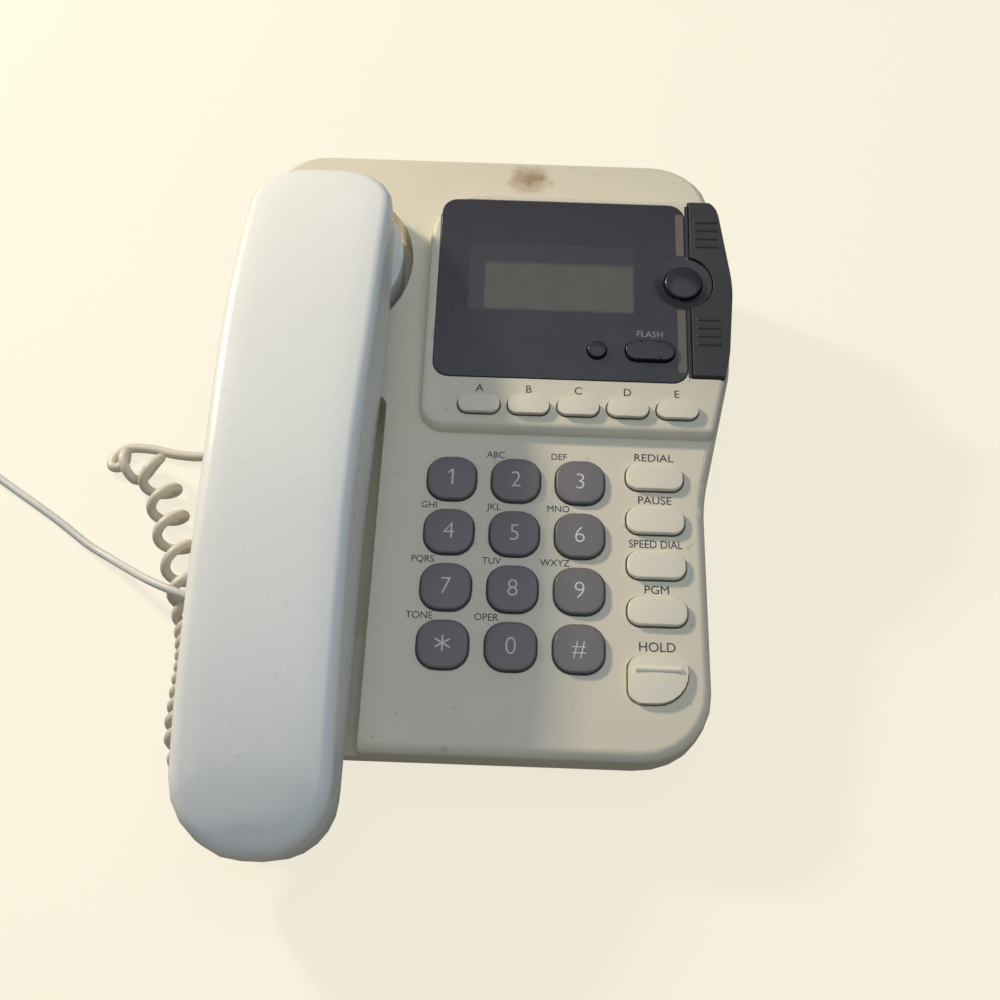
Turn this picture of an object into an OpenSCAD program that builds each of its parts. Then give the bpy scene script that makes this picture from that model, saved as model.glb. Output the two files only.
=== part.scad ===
// Desk telephone with a caller display: a stepped base, a push-key field and an arched handset.
// Sizes are in millimetres. Positions on the base count from the middle of the dial keys.

/* [Base] */
// left wall, from the middle of the dial keys
base_left = 84; // [80:1:90]
// right wall beside the keys
base_right = 56; // [54:0.5:60]
// front wall
base_front = 55.5; // [54:0.5:62]
// how far the front wall leans back between the deck and the seam
front_tuck = 3; // [1:0.5:3]
// back wall
base_back = 150.5; // [146:0.5:160]
// widest point of the right side, beside the display
bulge_x = 67.6; // [66:0.2:72]
// height of the parting line between the covers
seam_z = 11; // [10.5:0.5:12]
// wall of both covers
wall = 2.4; // [2:0.1:3]
// rounding of the upper edge
edge_round = 3; // [2:0.5:4]
// height of the rear top
rear_height = 51.9; // [51:0.1:54]

/* [Deck] */
// slope of the key deck
deck_tilt = 8.5; // [7:0.5:10]
// height of the deck at the middle of the dial keys
deck_height = 34; // [33:0.5:38]
// where the display platform starts
platform_y = 42; // [41:0.5:46]
// step up to the platform
platform_step = 3.5; // [2.5:0.5:5]
// extra slope of the platform
platform_tilt = 3; // [2:0.5:5]
// left side of the platform
platform_left = 30; // [28.5:0.5:32]
// depth of the platform along its slope
platform_depth = 85.5; // [85:0.5:88]

/* [Keys] */
// spacing of the dial columns
dial_pitch_x = 19; // [18:0.1:20]
// spacing of the dial rows
dial_pitch_y = 17.2; // [16.5:0.1:18]
// width of a dial key
dial_w = 14.1; // [12:0.1:15]
// height of a dial key
dial_h = 13.85; // [12:0.1:15]
// column of the function keys
function_x = 41.1; // [40.5:0.1:42]
// spacing of the function keys
function_pitch = 14.1; // [12:0.1:14.5]
// last function key, at the hold key's side
function_y = -14; // [-15:0.1:-13]
// width of a function key
function_w = 16.8; // [14:0.1:18]
// height of a function key
function_h = 8.3; // [7:0.1:9.5]
// width of a one-touch key
touch_w = 12.4; // [10:0.1:13]
// height of a one-touch key
touch_h = 5.7; // [5:0.1:6.5]
// rise of a key above its deck
key_rise = 1.8; // [1.6:0.1:3]
// clearance around a key
key_gap = 0.35; // [0.25:0.05:0.5]
// travel of a key
key_travel = 1.5; // [1:0.1:1.6]
// rim that keeps a key under its deck
key_rim = 0.8; // [0.6:0.1:1]

/* [Display] */
// left side of the dark panel
panel_left = 26.7; // [25:0.1:27]
// right side of the dark panel
panel_right = 51.6; // [51:0.1:52]
// front of the dark panel, along the platform
panel_front = 17; // [16:0.5:18]
// back of the dark panel
panel_back = 82; // [80:0.5:82.5]
// thickness of the panel
panel_t = 1.3; // [1.2:0.1:1.5]
// width of the display window
window_w = 52.5; // [45:0.5:54]
// height of the display window
window_h = 24.7; // [20:0.1:27]
// radius of the select button
select_r = 5.8; // [5:0.1:5.8]
// dish around the select button
dish_r = 9.2; // [9:0.1:9.5]

/* [Handset] */
// centre line of the handset
handset_x = -64; // [-66:0.5:-63]
// front end, along the deck
handset_front = -86.5; // [-92:0.5:-84]
// back end, along the deck
handset_back = 129; // [126:0.5:131]
// half width at the mouth end
grip_half = 20.8; // [20:0.1:22]
// how much wider the ear end is, each side
ear_flare = 1.6; // [0:0.1:2]
// rounding of the ends, seen from above
end_round = 18; // [14:0.5:19]
// height of the arched back above the deck
crown = 35; // [33:0.5:40]
// radius of the arched back
arch_r = 327; // [300:1:400]
// parting line of the handset, above the deck
handset_seam = 9; // [8.5:0.1:9.5]
// wall of the handset
handset_wall = 2.2; // [1.8:0.1:2.6]
// gap under the handset at rest
rest_gap = 0.3; // [0.2:0.05:0.4]
// half width of the ear cup
cup_rx = 25.2; // [24:0.1:26]
// half length of the ear cup
cup_ry = 27; // [25:0.1:28]
// middle of the ear cup, along the deck
ear_y = 104; // [102:0.5:106]
// gap between the ear cup and its pocket
pocket_gap = 3; // [2.5:0.1:3.2]
// depth of the ear pocket
pocket_depth = 11; // [10:0.1:12]
// depth of the mouth recess
mouth_depth = 7; // [6:0.1:8]
// depth of the finger trough
trough_depth = 10.5; // [9.5:0.1:11]

/* [Cords] */
// wire of the curly cord
wire_d = 3.2; // [3:0.1:3.6]
// mean radius of a curl
curl_r = 4.9; // [4.5:0.1:5]
// line cord
line_d = 2.6; // [2.4:0.1:2.6]
// outer radius of the bundled line cord
coil_r = 24; // [22:0.5:26]
// step between neighbouring turns
coil_pitch = 3.2; // [3.15:0.05:3.4]
// whole turns of the bundle
coil_turns = 14; // [10:1:16]

/* [Hidden] */
$fn = 40;

ivory = [0.86, 0.83, 0.75];
cream = [0.92, 0.9, 0.83];
charcoal = [0.2, 0.2, 0.21];
key_grey = [0.37, 0.36, 0.38];
smoke = [0.1, 0.09, 0.11];
steel = [0.7, 0.7, 0.72];
board_green = [0.16, 0.36, 0.22];
cord_grey = [0.72, 0.68, 0.62];
cord_white = [0.86, 0.87, 0.88];

// platform frame in the base's own level frame
full_tilt = deck_tilt + platform_tilt;
platform_y0 = platform_y * cos(deck_tilt) - platform_step * sin(deck_tilt);
platform_z0 = deck_height + platform_y * sin(deck_tilt) + platform_step * cos(deck_tilt);
platform_y1 = platform_y0 + platform_depth * cos(full_tilt);
deck_top = function (y) deck_height + y * tan(deck_tilt);
rear_top = function (y) rear_height;
platform_top = function (y) platform_z0 + (y - platform_y0) * tan(full_tilt);
deck_under = function (y) deck_top(y) - wall / cos(deck_tilt);
rear_under = function (y) rear_height - wall;
platform_under = function (y) platform_top(y) - wall / cos(full_tilt);

// one corner of an outline: arc points of radius r around the corner c
function unit(v) = v / norm(v);
function turn(a) = (a + 540) % 360 - 180;
function corner_arc(p, c, q, n) =
    let (
        at = [c.x, c.y],
        a = unit([p.x, p.y] - at),
        b = unit([q.x, q.y] - at),
        half = acos(a * b) / 2,
        mid = at + unit(a + b) * c.z / sin(half),
        t1 = at + a * c.z / tan(half) - mid,
        t2 = at + b * c.z / tan(half) - mid,
        a1 = atan2(t1.y, t1.x),
        sweep = turn(atan2(t2.y, t2.x) - a1)
    )
    [for (k = [0:n]) mid + c.z * [cos(a1 + sweep * k / n), sin(a1 + sweep * k / n)]];

// closed outline with rounded corners [x, y, radius]
function rounded(corners, n = 6) =
    let (count = len(corners))
    [for (i = [0:count - 1])
        each corner_arc(corners[(i + count - 1) % count], corners[i], corners[(i + 1) % count], n)];

// outline moved inwards by d
function inset(ring, d) =
    let (count = len(ring))
    [for (i = [0:count - 1])
        let (t = unit(ring[(i + 1) % count] - ring[(i + count - 1) % count])) ring[i] + d * [-t.y, t.x]];

function at_z(ring, z) = [for (p = ring) [p.x, p.y, z]];

// rings of a slab with upright walls and a rounded edge under a sloping top
function tapered(ring, tuck) =
    [for (p = ring) [p.x, p.y + tuck * min(1, max(0, (base_front / 2 + p.y) / (-base_front / 2)))]];
function slab_rings(ring, bottom, top, r, steps = 3, tuck = 0) =
    concat(
        [at_z(tapered(ring, tuck), bottom)],
        [for (k = [0:steps])
            let (a = steps == 0 ? 90 : 90 * k / steps)
            [for (p = inset(ring, r * (1 - cos(a)))) [p.x, p.y, top(p.y) - r * (1 - sin(a))]]]
    );

// skin over rings that run anticlockwise from above; ladder caps follow an arched top
module loft(rings, ladder = false) {
    n = len(rings[0]);
    last = (len(rings) - 1) * n;
    sides = [for (k = [0:len(rings) - 2]) for (i = [0:n - 1])
        let (a = k * n, j = (i + 1) % n)
        each [[a + i, a + i + n, a + j + n], [a + i, a + j + n, a + j]]];
    rungs = [for (i = [0:n / 2 - 2]) each [[i, i + 1, n - 2 - i], [i, n - 2 - i, n - 1 - i]]];
    bottom = ladder ? rungs : [[for (i = [0:n - 1]) i]];
    top = ladder
        ? [for (f = rungs) [last + f[2], last + f[1], last + f[0]]]
        : [[for (i = [0:n - 1]) last + n - 1 - i]];
    polyhedron([for (ring = rings) each ring], concat(bottom, sides, top), convexity = 10);
}

// outlines of the base and of the display platform, seen from above
base_ring = rounded([
    [-base_left, -base_front, 12],
    [base_right, -base_front, 20],
    [base_right - 0.2, 22, 60],
    [bulge_x - 2.1, 66, 40],
    [bulge_x, 92, 40],
    [bulge_x - 9.1, base_back, 19],
    [-base_left, base_back, 16]
]);
platform_ring = rounded([
    [-platform_left, platform_y0, 8],
    [bulge_x - 8.4, platform_y0, 3],
    [bulge_x - 2.8, 66.5, 40],
    [bulge_x - 0.7, 92, 40],
    [bulge_x - 5.8, platform_y1, 8],
    [-platform_left, platform_y1, 17]
]);

// handset outline in the deck frame: stations run from the front end to the back end
stations = concat(
    [for (a = [0:18:72]) handset_front + end_round * (1 - cos(a))],
    [for (k = [0:12]) handset_front + end_round + k * (handset_back - handset_front - 2 * end_round) / 12],
    [for (a = [72:-18:0]) handset_back - end_round * (1 - cos(a))]
);
function blend(t) = t < 0 ? 0 : t > 1 ? 1 : (1 - cos(180 * t)) / 2;
function end_reach(y) = max(0, handset_front + end_round - y, y - handset_back + end_round);
function half_width(y) =
    grip_half + ear_flare * blend(y / 75) - end_round + sqrt(max(0, end_round ^ 2 - end_reach(y) ^ 2));
handset_ring = concat(
    [for (y = stations) [handset_x + half_width(y), y]],
    [for (i = [len(stations) - 1:-1:0]) [handset_x - half_width(stations[i]), stations[i]]]
);
handset_top = function (y) crown - (y - 20) ^ 2 / (2 * arch_r) - (y < -50 ? (y + 50) ^ 2 / 400 : 0);
handset_edge = 3.5;
handset_foot = rest_gap + 0.5;
cup_foot = rest_gap - pocket_depth;
mouth_foot = rest_gap - mouth_depth;
// rear of the mouth recess and ends of the finger trough, along the deck
trough_front = -22;
trough_back = ear_y - cup_ry - pocket_gap - 20;
trough_right = handset_x + 23.5;
hook_y = trough_back + 10;

function oval(rx, ry, n = 40) = [for (k = [0:n - 1]) [handset_x + rx * cos(k * 360 / n), ear_y + ry * sin(k * 360 / n)]];

// the origin: middle of the body's outline on the table
centre_x = (max([for (p = base_ring) p.x]) + handset_x - cup_rx) / 2;
handset_nose = min([for (y = stations)
    y * cos(deck_tilt) - (handset_top(y) - handset_edge) * sin(deck_tilt)]);
centre_y = (base_back + handset_nose) / 2;

module placed() {
    translate([-centre_x, -centre_y, 0]) children();
}

module deck() {
    translate([0, 0, deck_height]) rotate([deck_tilt, 0, 0]) children();
}

module platform() {
    deck() translate([0, platform_y, platform_step]) rotate([platform_tilt, 0, 0]) children();
}

// plate with rounded corners around the origin
module pill(w, h, r) {
    square([w - 2 * r, h], center = true);
    square([w, h - 2 * r], center = true);
    for (x = [-1, 1], y = [-1, 1]) translate([x * (w / 2 - r), y * (h / 2 - r)]) circle(r);
}

// positions on the deck and on the platform
hold_w = 16.6;
hold_h = 13.6;
hold_at = [function_x - 0.2, function_y - 19.9];
dial_r = 5.5;
function_r = 3.5;
touch_pitch = 15;
touch_y = 7.4;
round_r = 2.8;
round_at = [23.6, 27.3];
flash_w = 15;
flash_h = 6.7;
flash_at = [40, 27.5];
select_at = [50.8, 52.7];
window_at = [9.25, 52.85];
function dial_at(i) = [(i % 3 - 1) * dial_pitch_x, (1.5 - floor(i / 3)) * dial_pitch_y];
function function_at(k) = [function_x, function_y + (3 - k) * function_pitch];
function touch_at(k) = [-12 + k * touch_pitch, touch_y];
function hold_outline(g) = rounded([
    [-hold_w / 2 - g, -hold_h / 2 - g, 4 + g],
    [hold_w / 2 + g, -hold_h / 2 - g, 9 + g],
    [hold_w / 2 + g, hold_h / 2 + g, 4 + g],
    [-hold_w / 2 - g, hold_h / 2 + g, 4 + g]
]);
deck_keys = concat([for (i = [0:11]) dial_at(i)], [for (k = [0:3]) function_at(k)], [hold_at]);
platform_keys = concat([for (k = [0:4]) touch_at(k)], [round_at, flash_at, select_at]);

// levels below a deck: rim under the cover, stem, contact sheet, board
rim_top = -wall - 0.2;
rim_t = 1.2;
stem_r = 2.5;
sheet_t = 1;
board_t = 1.6;
sheet_top = rim_top - rim_t - 3.2;
board_top = sheet_top - sheet_t;
stem_foot = board_top + key_travel + 0.5;
panel_recess = panel_t - 0.2;

// fasteners
base_screw_at = [
    [30, 10.3 - base_front], [10 - base_left, 10.8 - base_front],
    [10 - base_left, base_back - 10.5], [50, base_back - 12.5]
];
main_screw_at = [[-30, 36.5], [-30, -39.5], [29.8, 37], [27, -39.5]];
display_screw_at = [[-22, 8], [52.5, 14], [-22.8, platform_depth - 20], [44, platform_depth - 8.5]];
display_plan = rounded([[-25, 3, 2], [56, 3, 2], [56, platform_depth - 5.5, 3], [-25, platform_depth - 5.5, 16]]);
shank_r = 1.4;
small_shank_r = 1.1;

// jacks in the left wall and slide switches in the back wall
jack_z = seam_z + 4;
line_jack_y = -6;
handset_jack_y = 118;
plug_w = 8.4;
plug_h = 6.2;
plug_gap = 0.3;
switch_z = 30;
ringer_switch_x = 12;
mode_switch_x = -14;
switch_travel = 2;

// lower parts
foot_h = 2.2;
floor_z = foot_h + wall;
cell_r = 7.25;
cell_l = 50.5;
bay_x = [-21, 41];
bay_y = [base_back - 11 - cell_l, base_back - 4.3];
bay_top = 19.8;
bay_wall = 1.6;
door_gap = 0.3;

// room for the handset: ear pocket, finger trough and mouth recess, grown by g for their walls
module cradle(g) {
    outer = -base_left - 30;
    right = trough_right + g;
    deck() {
        translate([0, 0, -pocket_depth - g]) linear_extrude(60)
            polygon(oval(cup_rx + pocket_gap + g, cup_ry + pocket_gap + g));
        translate([0, 0, -trough_depth - g]) linear_extrude(60)
            polygon(rounded([[outer, trough_front - g, 1], [right, trough_front - g, 4],
                [right, trough_back + g, 4], [outer, trough_back + g, 1]], 4));
        translate([0, 0, -mouth_depth - g]) linear_extrude(60)
            polygon([[outer, -base_front - 30], [right, -base_front - 30],
                [right, trough_front + 8], [outer, trough_front + 8]]);
    }
}

// plan of the rocker's notch, along the platform
module notch_plan(g) {
    difference() {
        translate([52.8 - g, 18.7 - g]) square([40, 64.8 + 2 * g]);
        translate(select_at) circle(dish_r - g);
    }
}

module notch(g) {
    platform() translate([0, 0, -5.5 - g]) linear_extrude(30) notch_plan(g);
}

module at_back(x) {
    translate([x, base_back, switch_z]) rotate([90, 0, 0]) children();
}

module jack_place(y) {
    translate([-base_left, y, jack_z]) children();
}

// outside of the upper housing
module housing() {
    intersection() {
        loft(slab_rings(base_ring, seam_z, deck_top, edge_round, 3, front_tuck));
        loft(slab_rings(inset(base_ring, -0.4), seam_z - 1, rear_top, edge_round));
    }
    loft(slab_rings(platform_ring, deck_height - 3, platform_top, 2, 2));
}

// inside of the upper housing
module hollow() {
    inner = inset(base_ring, wall);
    intersection() {
        loft(slab_rings(inner, seam_z - 1, deck_under, 0, 0, front_tuck));
        loft(slab_rings(inset(inner, -0.4), seam_z - 2, rear_under, 0, 0));
    }
    loft(slab_rings(inset(platform_ring, wall), deck_height - 3, platform_under, 0, 0));
}

// what stays standing inside the upper housing
module bosses() {
    cradle(wall);
    notch(wall);
    for (p = base_screw_at) translate([p.x, p.y, seam_z]) cylinder(r = 3.6, h = 60);
    deck() {
        for (p = main_screw_at) translate([p.x, p.y, board_top]) cylinder(r = 2.6, h = 30);
        for (x = [-10, 10]) translate([handset_x + x - 2, hook_y - 4, -9]) cube([4, 8, 30]);
    }
    platform() for (p = display_screw_at) translate([p.x, p.y, board_top]) cylinder(r = 2.6, h = 20);
    for (x = [ringer_switch_x, mode_switch_x]) at_back(x) translate([-11, -6.5, 0]) cube([22, 13, 7]);
}

module key_holes() {
    deck() {
        for (i = [0:11]) translate([dial_at(i).x, dial_at(i).y, -wall - 1]) linear_extrude(8)
            pill(dial_w + 2 * key_gap, dial_h + 2 * key_gap, dial_r + key_gap);
        for (k = [0:3]) translate([function_at(k).x, function_at(k).y, -wall - 1]) linear_extrude(8)
            pill(function_w + 2 * key_gap, function_h + 2 * key_gap, function_r + key_gap);
        translate([hold_at.x, hold_at.y, -wall - 1]) linear_extrude(8) polygon(hold_outline(key_gap));
        translate([handset_x, hook_y, -wall - 1]) cylinder(r = 4.3, h = 8);
    }
    platform() {
        for (k = [0:4]) translate([touch_at(k).x, touch_at(k).y, -wall - 1]) linear_extrude(8)
            pill(touch_w + 2 * key_gap, touch_h + 2 * key_gap, touch_h / 2 - 0.1 + key_gap);
        translate([round_at.x, round_at.y, -wall - 1]) cylinder(r = round_r + key_gap, h = 8);
        translate([flash_at.x, flash_at.y, -wall - 1]) linear_extrude(8)
            pill(flash_w + 2 * key_gap, flash_h + 2 * key_gap, flash_h / 2 - 0.1 + key_gap);
        translate([select_at.x, select_at.y, -wall - 1]) cylinder(r = select_r + key_gap, h = 8);
        translate([window_at.x, window_at.y, -wall - 1]) linear_extrude(8)
            square([window_w, window_h], center = true);
    }
}

// outline of the dark panel with its lobe around the select button, grown by g
module panel_plan(g) {
    polygon(rounded([
        [-panel_left - g, panel_front - g, 5], [panel_right + g, panel_front - g, 5],
        [panel_right + g, panel_back + g, 5], [-panel_left - g, panel_back + g, 5]
    ]));
    translate(select_at) circle(dish_r + g);
}

// bore that takes the rocker's pivot pin
module pivot_bore() {
    translate([select_at.x + select_r + 2.6, select_at.y, -1.6]) rotate([0, 90, 0]) cylinder(r = 1.2, h = 6);
}

module top_cover() {
    placed() color(ivory) difference() {
        housing();
        difference() {
            hollow();
            bosses();
        }
        cradle(0);
        notch(0);
        key_holes();
        platform() {
            translate([0, 0, -panel_recess]) linear_extrude(10) panel_plan(0.15);
            pivot_bore();
        }
        for (p = base_screw_at) translate([p.x, p.y, seam_z - 1]) cylinder(r = shank_r + 0.1, h = 6.5);
        deck() for (p = main_screw_at) translate([p.x, p.y, board_top - 1])
            cylinder(r = small_shank_r + 0.1, h = 5);
        platform() for (p = display_screw_at) translate([p.x, p.y, board_top - 1])
            cylinder(r = small_shank_r + 0.1, h = 5);
        for (y = [line_jack_y, handset_jack_y]) jack_place(y) rotate([0, 90, 0])
            linear_extrude(3 * wall, center = true)
            square([plug_h + 2 * plug_gap, plug_w + 2 * plug_gap], center = true);
        for (x = [ringer_switch_x, mode_switch_x]) at_back(x) {
            translate([-8, -4.5, -1]) cube([16, 9, 2.2]);
            translate([-2.9 - switch_travel, -2.4, 0]) cube([5.8 + 2 * switch_travel, 4.8, 4]);
            translate([-8.6, -4.4, 2.4]) cube([17.2, 8.8, 1.9]);
        }
    }
}

module bottom_cover() {
    low_ring = tapered(base_ring, 2 * front_tuck);
    placed() color(ivory) difference() {
        union() {
            difference() {
                loft([at_z(inset(low_ring, 2), foot_h), at_z(inset(low_ring, 0.6), foot_h + 0.6),
                    at_z(tapered(base_ring, 1.8 * front_tuck), foot_h + 2),
                    at_z(tapered(base_ring, front_tuck), seam_z)]);
                translate([0, 0, floor_z]) linear_extrude(20) polygon(inset(low_ring, wall));
            }
            for (p = base_screw_at) translate([p.x, p.y, foot_h + 1]) cylinder(r = 4.4, h = seam_z - foot_h - 1);
            translate([bay_x[0] - bay_wall, bay_y[0] - bay_wall, foot_h + 1])
                cube([bay_x[1] - bay_x[0] + 2 * bay_wall, bay_y[1] - bay_y[0] + 2 * bay_wall,
                    bay_top + bay_wall - foot_h - 1]);
            translate([15, 10, foot_h + 1]) cylinder(r = 16, h = 6.4);
            for (y = [line_jack_y, handset_jack_y]) translate([-base_left + 4, y - 5, foot_h + 1])
                cube([10, 10, jack_z - 3.9 - foot_h - 1]);
        }
        // battery bay, its floor opening and the rails of the door
        translate([bay_x[0], bay_y[0], 0]) cube([bay_x[1] - bay_x[0], bay_y[1] - bay_y[0], bay_top]);
        translate([bay_x[0], bay_y[0], 0]) cube([bay_x[1] - bay_x[0], 100, floor_z]);
        translate([bay_x[0] - 1.5, bay_y[0], foot_h + 0.7]) cube([bay_x[1] - bay_x[0] + 3, 100, 1.3]);
        // sounder seat and its slots
        translate([15, 10, floor_z]) cylinder(r = 14.3, h = 20);
        for (k = [-2:2]) translate([15 + 4 * k, 10, 0]) cube([1.6, 17, 20], center = true);
        // screw holes with sunk heads
        for (p = base_screw_at) translate([p.x, p.y, 0]) {
            cylinder(r = shank_r + 0.25, h = 30);
            cylinder(r = 3.2, h = foot_h + 3.2);
        }
        // seats of the feet and keyholes for a wall
        for (p = foot_at) translate([p.x, p.y, 0]) cylinder(r = 6.1, h = foot_h + 1);
        for (y = [-26, -26 + 101.6]) translate([-12, y, 0]) {
            cylinder(r = 4.2, h = 10);
            translate([-2.1, 0, 0]) cube([4.2, 9, 10]);
        }
    }
}
foot_at = [[-60, 16 - base_front], [42, 19 - base_front], [50, base_back - 27], [-64, base_back - 24]];

module feet() {
    placed() color(charcoal) for (p = foot_at) translate([p.x, p.y, 0]) {
        cylinder(r1 = 5, r2 = 6, h = 0.8);
        translate([0, 0, 0.8]) cylinder(r = 6, h = foot_h + 0.2);
    }
}

module base_screws() {
    placed() color(steel) for (p = base_screw_at) translate([p.x, p.y, foot_h + 1]) difference() {
        union() {
            cylinder(r = 2.9, h = 2.2);
            cylinder(r = shank_r, h = seam_z + 4.5 - foot_h - 1);
        }
        translate([-2, -0.4, -1]) cube([4, 0.8, 1.9]);
        translate([-0.4, -2, -1]) cube([0.8, 4, 1.9]);
    }
}

module small_screws(places) {
    for (p = places) translate([p.x, p.y, board_top - board_t - 1.5]) difference() {
        union() {
            cylinder(r = 2.1, h = 1.5);
            cylinder(r = small_shank_r, h = board_t + 5);
        }
        translate([-1.5, -0.3, -1]) cube([3, 0.6, 1.7]);
        translate([-0.3, -1.5, -1]) cube([0.6, 3, 1.7]);
    }
}

module board_screws() {
    placed() color(steel) {
        deck() small_screws(main_screw_at);
        platform() small_screws(display_screw_at);
    }
}

module battery_door() {
    w = bay_x[1] - bay_x[0] - 2 * door_gap;
    l = base_back - 2.2 - bay_y[0] - door_gap;
    placed() color(ivory) translate([bay_x[0] + door_gap, bay_y[0] + door_gap, foot_h + 0.1]) {
        difference() {
            cube([w, l, wall - 0.3]);
            for (k = [0:4]) translate([w / 2 - 9, l - 7 - 2.6 * k, -0.4]) cube([18, 1.2, 0.9]);
        }
        translate([-1.3, 1, 0.8]) cube([w + 2.6, l - 14, 0.9]);
    }
}

module batteries() {
    pitch = (bay_x[1] - bay_x[0]) / 4;
    placed() color([0.25, 0.32, 0.3]) for (k = [0:3])
        translate([bay_x[0] + pitch * (k + 0.5), (bay_y[0] + bay_y[1] - cell_l) / 2, floor_z + 0.1 + cell_r])
            rotate([-90, 0, 0]) {
                cylinder(r = cell_r, h = cell_l - 1.5);
                translate([0, 0, cell_l - 1.5]) cylinder(r = 2.7, h = 1.5);
            }
}

module battery_contacts() {
    w = bay_x[1] - bay_x[0] - 1;
    room = (bay_y[1] - bay_y[0] - cell_l) / 2;
    pitch = (bay_x[1] - bay_x[0]) / 4;
    placed() color(steel) for (side = [0, 1])
        translate([bay_x[0], side ? bay_y[1] : bay_y[0], 0]) mirror([0, side, 0]) {
            translate([0.5, 0, floor_z + 2]) cube([w, 0.5, 11.5]);
            for (k = [0:3]) translate([pitch * (k + 0.5), 0.3, floor_z + 0.1 + cell_r]) rotate([-90, 0, 0])
                cylinder(r1 = 3.4, r2 = 2.2, h = room - 0.5);
        }
}

module ringer() {
    placed() color(charcoal) translate([15, 10, floor_z]) difference() {
        union() {
            cylinder(r = 14, h = 7);
            cylinder(r = 6, h = 9);
        }
        translate([0, 0, -1]) cylinder(r = 11, h = 2);
    }
}

// cap, rim and stem of a key; the first child is its plan, the second the plan of its rim
module key(dome_r) {
    intersection() {
        translate([0, 0, rim_top - rim_t]) linear_extrude(key_rise + 1 - rim_top + rim_t) children(0);
        translate([0, 0, key_rise - dome_r]) sphere(r = dome_r, $fn = 160);
    }
    translate([0, 0, rim_top - rim_t]) linear_extrude(rim_t) children(1);
    translate([0, 0, stem_foot]) cylinder(r = stem_r, h = rim_top - stem_foot);
}

module plain_key(w, h, r, dome_r) {
    key(dome_r) {
        pill(w, h, r);
        pill(w + 2 * key_rim, h + 2 * key_rim, r + key_rim);
    }
}

module dial_key(i) {
    placed() color(key_grey) deck() translate([dial_at(i).x, dial_at(i).y, 0])
        plain_key(dial_w, dial_h, dial_r, 70);
}

module function_key(k) {
    placed() color(cream) deck() translate([function_at(k).x, function_at(k).y, 0])
        plain_key(function_w, function_h, function_r, 90);
}

module one_touch_key(k) {
    placed() color(cream) platform() translate([touch_at(k).x, touch_at(k).y, 0])
        plain_key(touch_w, touch_h, touch_h / 2 - 0.1, 60);
}

module flash_key() {
    placed() color(smoke) platform() translate([flash_at.x, flash_at.y, 0])
        plain_key(flash_w, flash_h, flash_h / 2 - 0.1, 70);
}

module round_key() {
    placed() color(smoke) platform() translate([round_at.x, round_at.y, 0]) key(14) {
        circle(round_r);
        circle(round_r + key_rim);
    }
}

module select_button() {
    placed() color(smoke) platform() translate([select_at.x, select_at.y, 0]) key(17) {
        circle(select_r);
        circle(select_r + 0.7);
    }
}

module hold_key() {
    placed() color(cream) deck() translate([hold_at.x, hold_at.y, 0]) {
        key(90) {
            polygon(hold_outline(0));
            polygon(hold_outline(key_rim));
        }
        translate([2 - hold_w / 2, hold_h / 5, key_rise - 0.6]) rotate([0, 90, 0]) cylinder(r = 1, h = hold_w - 4);
    }
}

// rubber sheet with a hole and a collar around each stem, on both boards
module keymat() {
    hole_r = stem_r + 0.5;
    placed() color([0.55, 0.56, 0.58]) {
        deck() difference() {
            union() {
                translate([0, 0, board_top]) linear_extrude(sheet_t) polygon(main_plan);
                for (p = deck_keys) translate([p.x, p.y, board_top]) cylinder(r = hole_r + 1.2, h = sheet_t + 0.8);
            }
            for (p = deck_keys) translate([p.x, p.y, board_top - 1]) cylinder(r = hole_r, h = 9);
            for (p = main_screw_at) translate([p.x - 3.3, p.y > 0 ? p.y - 3.3 : -50, board_top - 1])
                cube([6.6, p.y > 0 ? 20 : p.y + 53.3, 9]);
        }
        platform() difference() {
            translate([0, 0, board_top]) linear_extrude(sheet_t) union() {
                translate([-18, 3.5]) square([72, 7.4]);
                translate([18, 10]) square([7, 22.5]);
                translate([18, 22.5]) square([31, 10]);
                translate([43, 32]) square([6, 26]);
                translate(select_at) circle(6.3);
            }
            for (p = platform_keys) translate([p.x, p.y, board_top - 1]) cylinder(r = hole_r, h = 9);
        }
    }
}

main_plan = rounded([[-33, -43, 3], [51.5, -43, 14], [51.5, 40, 3], [-33, 40, 3]]);

module main_board() {
    placed() color(board_green) deck() difference() {
        translate([0, 0, board_top - board_t]) linear_extrude(board_t) polygon(main_plan);
        for (p = main_screw_at) translate([p.x, p.y, board_top - 5]) cylinder(r = small_shank_r + 0.15, h = 9);
    }
}

module display_board() {
    placed() color(board_green) platform() difference() {
        translate([0, 0, board_top - board_t]) linear_extrude(board_t) polygon(display_plan);
        for (p = display_screw_at) translate([p.x, p.y, board_top - 5]) cylinder(r = small_shank_r + 0.15, h = 9);
    }
}

module display_lens() {
    placed() color(smoke) platform() difference() {
        translate([0, 0, -panel_recess]) linear_extrude(panel_t) panel_plan(0);
        translate([round_at.x, round_at.y, -5]) cylinder(r = round_r + key_gap, h = 9);
        translate([flash_at.x, flash_at.y, -5]) linear_extrude(9)
            pill(flash_w + 2 * key_gap, flash_h + 2 * key_gap, flash_h / 2 - 0.1 + key_gap);
        translate([select_at.x, select_at.y, -5]) cylinder(r = select_r + key_gap, h = 9);
        translate([select_at.x, select_at.y, 50.2]) sphere(r = 51, $fn = 120);
        pivot_bore();
    }
}

module lcd_module() {
    placed() color([0.5, 0.52, 0.42]) platform() translate([window_at.x, window_at.y, 0]) {
        translate([0, 0, board_top]) linear_extrude(-wall - 0.3 - board_top)
            square([window_w + 6, window_h + 7], center = true);
        translate([0, 0, -wall - 0.4]) linear_extrude(wall + 0.4 - panel_recess - 0.15)
            square([window_w - 1, window_h - 1], center = true);
    }
}

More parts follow.
